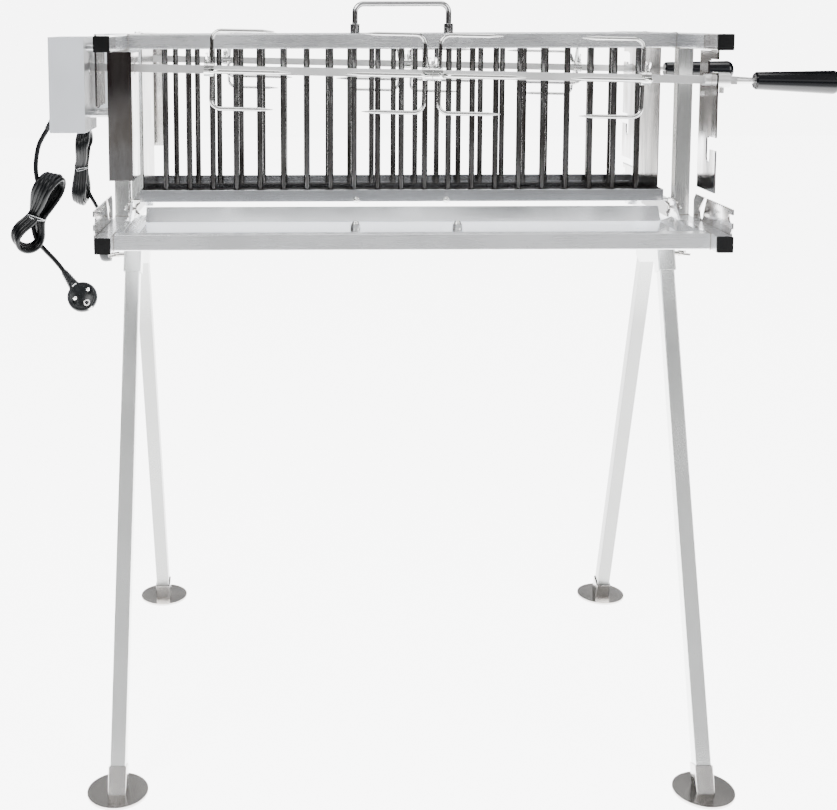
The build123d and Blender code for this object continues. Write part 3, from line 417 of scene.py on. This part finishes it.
def hank_points(top, bottom, waist, twist_top, twist_bottom, pile, seed, ear=None):
    """Turns of a tied hank, folded at both ends, piled side by side and twisted from end to end.

    waist is the tie's share of the way down, pile the spacing of the turns,
    ear a lean of the last top fold.
    """
    chance = random.Random(seed)
    length = (bottom - top).length
    down = (bottom - top) / length
    across = down.cross(Vector((0, 1, 0))).normalized()
    deep = Vector((0, 1, 0))
    tie = waist * length

    def place(along, wide, layer, lean=Vector()):
        share = along / length
        turn = radians(twist_top + (twist_bottom - twist_top) * share)
        plane = across * cos(turn) + deep * sin(turn)
        normal = -across * sin(turn) + deep * cos(turn)
        return top + down * along + plane * wide + normal * layer + lean

    points = []
    for turn in range(FOLDS):
        layer = (turn - (FOLDS - 1) / 2) * pile
        radius = chance.uniform(0.0150, 0.0172)
        low = length - radius - chance.uniform(0.003, 0.010)
        high = radius + chance.uniform(0.003, 0.010)
        narrow = 0.0042 + 0.001 * (turn % 2)
        lean = ear if ear and turn == FOLDS - 1 else Vector()
        points.append(place(tie, -narrow, layer * 0.8))
        points.append(place((tie + low) / 2 - 0.004, -(narrow + radius) * 0.45, layer * 0.9))
        for step in range(-5, 6, 2):
            angle = radians(22.5 * step)
            points.append(place(low + 1.08 * radius * cos(angle), 1.08 * radius * sin(angle), layer))
        points.append(place((tie + low) / 2 - 0.004, (narrow + radius) * 0.45, layer * 0.9))
        points.append(place(tie, narrow, layer * 0.8))
        points.append(place((tie + high) / 2 + 0.004, (narrow + radius) * 0.45, layer * 0.9, lean * 0.35))
        for step in range(5, -6, -2):
            angle = radians(22.5 * step)
            along = high - 1.08 * radius * cos(angle)
            points.append(place(along, 1.08 * radius * sin(angle), layer, lean))
        points.append(place((tie + high) / 2 + 0.004, -(narrow + radius) * 0.45, layer * 0.9, lean * 0.35))
    points.append(place(tie, 0, layer * 0.8 + pile))
    return points


def cord_curve(name, points, body):
    """One smooth spline through the whole route, with the cord's section."""
    curve = bpy.data.curves.new(name, "CURVE")
    curve.dimensions = "3D"
    curve.resolution_u = 8
    curve.bevel_depth = UNIT_BEVEL
    curve.bevel_resolution = 4
    curve.use_fill_caps = True
    spline = curve.splines.new("NURBS")
    spline.points.add(len(points) - 1)
    for target, point in zip(spline.points, points):
        target.co = (*point, 1)
        target.radius = CORD_D / 2
    spline.order_u = 3
    spline.use_endpoint_u = True
    return paint(add_object(name, curve, body), "cord")


def plug_pieces(face, name, body):
    """Rubber plug with a ribbed sleeve, two pins, a contact ring and two side contacts."""
    middle = face @ Matrix.Translation((0, 0, -PLUG_T / 2))
    sleeve = middle @ Matrix.Rotation(-pi / 2, 4, "Y")
    rim = [
        (0, -PLUG_T),
        (PLUG_R - 0.006, -PLUG_T),
        (PLUG_R - 0.0025, -PLUG_T + 0.0015),
        (PLUG_R - 0.0006, -PLUG_T + 0.005),
        (PLUG_R, -PLUG_T + 0.009),
        (PLUG_R, -0.0018),
        (PLUG_R - 0.0014, 0),
        (PLUG_R - 0.0036, 0),
        (PLUG_R - 0.0042, -0.0007),
        (0, -0.0007),
    ]
    ribs = [(0, 0.010), (0.0080, 0.010), (0.0078, 0.018), (0.0068, 0.021)]
    for step in range(6):
        start = 0.022 + 0.0034 * step
        radius = 0.0066 - 0.00042 * step
        ribs += [(radius, start), (radius, start + 0.0018), (radius - 0.001, start + 0.0022)]
        ribs.append((radius - 0.001, start + 0.0032))
    ribs += [(CORD_D / 2 + 0.0004, PLUG_REACH), (0, PLUG_REACH)]

    def build_body(bm):
        lathe(bm, rim, face, 48)
        lathe(bm, ribs, sleeve, 32)

    def build_metal(bm):
        pin = [(0, -0.001), (0.0024, -0.001), (0.0024, 0.0170), (0.0018, 0.0184), (0.0009, 0.019), (0, 0.019)]
        for side in (-1, 1):
            lathe(bm, pin, face @ Matrix.Translation((0, side * PIN_PITCH / 2, 0)), 24)
            strip = face @ Matrix.Translation((side * (PLUG_R - 0.0012), -0.0032, -0.0105))
            lift = 0.0016 * side
            outline = [(0, 0), (lift, 0.001), (lift, 0.0055), (0, 0.0065)]
            prism(bm, [(x, y) for x, y in outline], strip, 0.0108)
        ring = [(0.0026, -0.0008), (0.0040, -0.0008), (0.0040, 0.0004), (0.0026, 0.0004), (0.0026, -0.0008)]
        lathe(bm, ring, face @ Matrix.Translation((0.010, 0, 0)), 24)

    plug = add_object(f"{name}_plug_body", mesh_from(name, build_body), body)
    paint(plug, "rubber")
    metal = add_object(f"{name}_plug_metal", mesh_from(name, build_metal), body)
    paint(metal, "nickel")
    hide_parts(f"{name}_cord_plug")
    return [plug, metal]


def wire_tie(name, centre, axis, half_wide, half_deep, body):
    """Thin twisted wire round a hank, with its two ends turned out."""
    place = frame_matrix(centre, (0, 1, 0), axis)
    points = []
    for step in range(25):
        turn = 2 * pi * step / 12
        wobble = 0.0012 * sin(turn * 1.5)
        points.append(place @ Vector((half_deep * cos(turn), half_wide * sin(turn), wobble + 0.0001 * step)))
    points.append(place @ Vector((half_deep + 0.003, 0.003, 0.004)))
    points.append(place @ Vector((half_deep + 0.004, 0.006, 0.010)))
    curve = bpy.data.curves.new(name, "CURVE")
    curve.dimensions = "3D"
    curve.bevel_depth = UNIT_BEVEL
    curve.bevel_resolution = 3
    spline = curve.splines.new("NURBS")
    spline.points.add(len(points) - 1)
    for target, point in zip(spline.points, points):
        target.co = (*point, 1)
        target.radius = TIE_R
    spline.order_u = 3
    spline.use_endpoint_u = True
    return paint(add_object(name, curve, body), "zinc")


def relief_piece(side, name, body):
    """Ribbed strain relief where a cord leaves its motor box."""
    place = frame_matrix(exit_point(side), (0, 1, 0), RELIEF_DIR)
    profile = [(0.0032, -0.0035), (0.0056, -0.0035), (0.0054, 0.004)]
    for step in range(5):
        start = 0.0055 + 0.0028 * step
        radius = 0.0052 - 0.0003 * step
        profile += [(radius, start), (radius, start + 0.0014), (radius - 0.0008, start + 0.0017)]
        profile.append((radius - 0.0008, start + 0.0026))
    profile += [(0.0036, RELIEF_L), (0.0031, RELIEF_L)]

    def build(bm):
        lathe(bm, profile, place, 32)

    piece = paint(add_object(f"{name}_relief", mesh_from(name, build), body), "rubber")
    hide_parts(f"{name}_cord_relief")
    return piece


def make_cord(name, side, lead, hank, tail, face):
    """A whole cord: relief, lead, hank, tail and plug."""
    body = f"{name}_drive_bracket"
    start = exit_point(side)
    points = [start, start + RELIEF_DIR * (RELIEF_L + LAST_RUN)] + lead + hank + tail + plug_end(face)
    piece = cord_curve(f"{name}_mains_cord", points, body)
    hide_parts(*[f"{name}_cord_{part}" for part in ("lead", "hank", "tail")])
    extra = plug_pieces(face, name, body) + [relief_piece(side, name, body)]


FRONT_TOP = Vector((-0.493, -0.200, 0.783))
FRONT_BOTTOM = Vector((-0.541, -0.200, 0.679))
REAR_TOP = Vector((-0.528, 0.200, 0.803))
REAR_BOTTOM = Vector((-0.532, 0.200, 0.682))
FRONT_WAIST = 0.54
REAR_WAIST = 0.50
TIE_LEAN = Vector((0.02, 0, 0.03))
make_cord(
    "front",
    -1,
    [Vector((-0.518, -0.200, 0.806)), Vector((-0.520, -0.200, 0.783)), Vector((-0.515, -0.200, 0.761))],
    hank_points(FRONT_TOP, FRONT_BOTTOM, FRONT_WAIST, 80, 20, 0.0050, 3),
    [Vector((-0.525, -0.192, 0.697)), Vector((-0.514, -0.185, 0.681))],
    frame_matrix((-0.4626, -0.2076, 0.6244), (0.60, -0.28, -0.75), (0.1, -0.9, 0.4)),
)
make_cord(
    "rear",
    1,
    [Vector((-0.519, 0.203, 0.812)), Vector((-0.523, 0.206, 0.797))],
    hank_points(REAR_TOP, REAR_BOTTOM, REAR_WAIST, 88, 84, 0.0042, 8, Vector((0.020, 0, 0.002))),
    [Vector((-0.526, 0.200, 0.720)), Vector((-0.5175, 0.200, 0.700)), Vector((-0.5075, 0.200, 0.682))],
    frame_matrix((-0.4865, 0.200, 0.6124), (0.1, 0, -0.995), (0.995, 0, 0.1)),
)
for name, top, bottom, share, wide, deep in (
    ("front", FRONT_TOP, FRONT_BOTTOM, FRONT_WAIST, 0.0125, 0.0120),
    ("rear", REAR_TOP, REAR_BOTTOM, REAR_WAIST, 0.0115, 0.0110),
):
    centre = top + (bottom - top) * share
    axis = bottom - top + TIE_LEAN
    wire_tie(f"{name}_wire_tie", centre, axis, wide, deep, f"{name}_drive_bracket")

paint_nodes()


# ---------------------------------------------------------------- small fittings
ORIGIN_X = 0.047
TUBE = 0.020


def hex_nut(bm, place, across, height, dome):
    """Hexagon nut with a domed or flat end, standing on place's xy plane."""
    radius = across / 2 / cos(pi / 6)
    outline = [(radius * cos(pi / 3 * k), radius * sin(pi / 3 * k)) for k in range(6)]
    prism(bm, outline, place, height)
    lathe(bm, [(across * 0.62, 0), (across * 0.62, 0.0008), (0, 0.0008)], place, 32)
    if dome:
        crown = across * 0.46
        turns = [pi / 12 * k for k in range(6)]
        profile = [(crown * cos(turn), height + crown * sin(turn)) for turn in turns]
        lathe(bm, [(crown, height * 0.9)] + profile + [(0, height + crown)], place, 32)


def fittings(name, places, across, height, dome, body):
    """Same nut at several places, as one piece."""

    def build(bm):
        for place in places:
            hex_nut(bm, place, across, height, dome)

    paint(add_object(name, mesh_from(name, build, False), body), "nickel")


def weld_loops(name, places, body):
    """Weld beads round the outline of a square tube, at several places."""
    curve = bpy.data.curves.new(name, "CURVE")
    curve.dimensions = "3D"
    curve.bevel_depth = UNIT_BEVEL
    curve.bevel_resolution = 2
    chance = random.Random(len(places))
    half = TUBE / 2
    for place in places:
        corners = [(-half, -half), (half, -half), (half, half), (-half, half)]
        spline = curve.splines.new("POLY")
        spline.use_cyclic_u = True
        points = []
        for (x0, y0), (x1, y1) in zip(corners, corners[1:] + corners[:1]):
            for step in range(10):
                share = step / 10
                points.append((x0 + (x1 - x0) * share, y0 + (y1 - y0) * share))
        spline.points.add(len(points) - 1)
        for target, (x, y) in zip(spline.points, points):
            lift = chance.uniform(-0.0003, 0.0003)
            target.co = (*(place @ Vector((x, y, lift))), 1)
            target.radius = chance.uniform(0.0007, 0.00105)
    paint(add_object(name, curve, body), "weld")


def along_x(x, y, z, way=1):
    """Place whose z axis runs along x."""
    return frame_matrix((x - ORIGIN_X, y, z), (0, 0, 1), (way, 0, 0))


def upright(x, y, z):
    """Place whose z axis runs up."""
    return frame_matrix((x - ORIGIN_X, y, z), (1, 0, 0), (0, 0, 1))


CORNERS = [(sx, sy) for sx in (-1, 1) for sy in (-1, 1)]
SMALL_NUT = (0.007, 0.003, True)
PAN_NUT = (0.011, 0.006, True)
RAIL_X = 0.3682
TRAY_RAIL_X = 0.3683
POST_X = 0.378
POST_ENDS = (0.7102, 0.9348)
TRAY_Y = 0.240
TRAY_Z = 0.700
hinges = [along_x(sx * 0.368, sy * 0.106, 0.722, sx) for sx, sy in CORNERS]
fittings("hinge_bolt_heads", hinges, *SMALL_NUT, "frame")
hangers = [
    frame_matrix((x - ORIGIN_X, sy * 0.087, 0.7305), (1, 0, 0), (0, sy, 0))
    for x in (-0.061, 0.061)
    for sy in (-1, 1)
]
fittings("trough_nuts", hangers, *SMALL_NUT, "frame")
rails = [along_x(sx * RAIL_X, sy * 0.075, 0.945) for sx, sy in CORNERS]
posts = [upright(sx * POST_X, sy * 0.086, z) for sx, sy in CORNERS for z in POST_ENDS]
weld_loops("frame_welds", rails + posts, "frame")
for end, side in ENDS.items():
    nuts = [upright(x, side * 0.170, 0.7042) for x in (-0.066, 0.066)]
    fittings(f"{end}_pan_nuts", nuts, *PAN_NUT, f"{end}_tray")
    welds = [along_x(sx * TRAY_RAIL_X, side * TRAY_Y, TRAY_Z) for sx in (-1, 1)]
    weld_loops(f"{end}_tray_welds", welds, f"{end}_tray")


# ---------------------------------------------------------------- stage and light
GLOW = 7.0


FLOOR_HALF = 9.0


def make_stage():
    """Pale flat floor that glows behind its front part, inside a wide strip."""

    def build(bm):
        corners = ((-1, -1), (1, -1), (1, 1), (-1, 1))
        bm.faces.new([bm.verts.new((x * FLOOR_HALF, y * FLOOR_HALF, 0)) for x, y in corners])

    floor = bpy.data.objects.new("studio_floor", mesh_from("studio_floor", build))
    bpy.context.scene.collection.objects.link(floor)
    material, tree, shader = new_material("pale_floor")
    tone = ramp(tree, noise(tree, 0.8), [(0.3, (0.90, 0.90, 0.90)), (0.7, (0.94, 0.94, 0.94))])
    tree.links.new(tone, shader.inputs["Base Color"])
    shader.inputs["Roughness"].default_value = 0.9
    shader.inputs["Emission Color"].default_value = (1, 1, 1, 1)
    place = position(tree)
    glow = fade(tree, place["Y"], -1.3, -0.7, 0, GLOW)
    for start, full in ((-3.4, -2.9), (5.2, 4.7)):
        glow = combine(tree, "MULTIPLY", glow, fade(tree, place["X"], start, full, 0, 1))
    tree.links.new(glow, shader.inputs["Emission Strength"])
    floor.data.materials.append(material)


def area_light(name, place, target, size, power):
    """Soft rectangular light that faces target."""
    data = bpy.data.lights.new(name, "AREA")
    data.shape = "RECTANGLE"
    data.size, data.size_y = size
    data.energy = power
    light = bpy.data.objects.new(name, data)
    light.location = place
    light.rotation_euler = (Vector(target) - Vector(place)).to_track_quat("-Z", "Y").to_euler()
    bpy.context.scene.collection.objects.link(light)


def grey(level):
    """Neutral colour."""
    return (level, level, level)


def near_studio(tree, height):
    """Dim studio in front of the roaster, with a dark band at eye level for steel to mirror."""
    noise_node = tree.nodes.new("ShaderNodeTexNoise")
    noise_node.inputs["Scale"].default_value = 9
    coords = tree.nodes.new("ShaderNodeTexCoord")
    tree.links.new(coords.outputs["Generated"], noise_node.inputs["Vector"])
    wobble = fade(tree, noise_node.outputs["Fac"], 0, 1, -0.02, 0.02)
    dark = (0.003, 0.002, 0.002)
    stops = [
        (0.0, grey(0.03)),
        (0.462, (0.07, 0.069, 0.068)),
        (0.472, dark),
        (0.522, dark),
        (0.545, (0.09, 0.09, 0.093)),
        (0.64, grey(0.16)),
        (0.72, grey(0.04)),
        (1.0, grey(0.06)),
    ]
    return ramp(tree, combine(tree, "ADD", height, wobble), stops)


def far_studio(tree, place, height):
    """Bright window behind the roaster, with dark sides."""
    rows = ramp(tree, height, [
        (0.0, grey(0.1)), (0.46, grey(1)), (0.58, grey(1)), (0.64, grey(0.06)), (1.0, grey(0.06))])
    ratio = combine(tree, "DIVIDE", place["X"], place["Y"])
    columns = ramp(tree, fade(tree, ratio, -1, 1, 0, 1), [
        (0.36, (0.03, 0.028, 0.026)), (0.378, grey(1)), (0.722, grey(1)), (0.75, (0.05, 0.048, 0.045))])
    return mix_colours(tree, rows, columns, blend="MULTIPLY")


def make_world():
    """Studio that is dim in front of the roaster, bright behind it and dark at both flanks."""
    world = bpy.data.worlds.new("studio")
    world.use_nodes = True
    tree = world.node_tree
    place = position(tree, "Generated")
    height = fade(tree, place["Z"], -1, 1, 0, 1)
    behind = fade(tree, place["Y"], -0.45, 0.15, 0, 1)
    around = mix_colours(tree, near_studio(tree, height), far_studio(tree, place, height), behind)
    flanks = ramp(tree, combine(tree, "ABSOLUTE", place["X"]), [
        (0.55, grey(1)), (0.75, grey(0.1)), (0.95, grey(0.05))])
    background = tree.nodes["Background"]
    tree.links.new(mix_colours(tree, around, flanks, blend="MULTIPLY"), background.inputs["Color"])
    background.inputs["Strength"].default_value = GLOW
    bpy.context.scene.world = world


make_stage()
make_world()
area_light("key", (-2.2, -2.6, 3.0), (0, 0, 0.8), (1.8, 1.8), 110)
area_light("fill", (2.6, -2.2, 2.2), (0, 0, 0.7), (1.6, 2.2), 60)
area_light("top", (0, 0.2, 3.6), (0, 0, 0.8), (2.6, 2.0), 60)
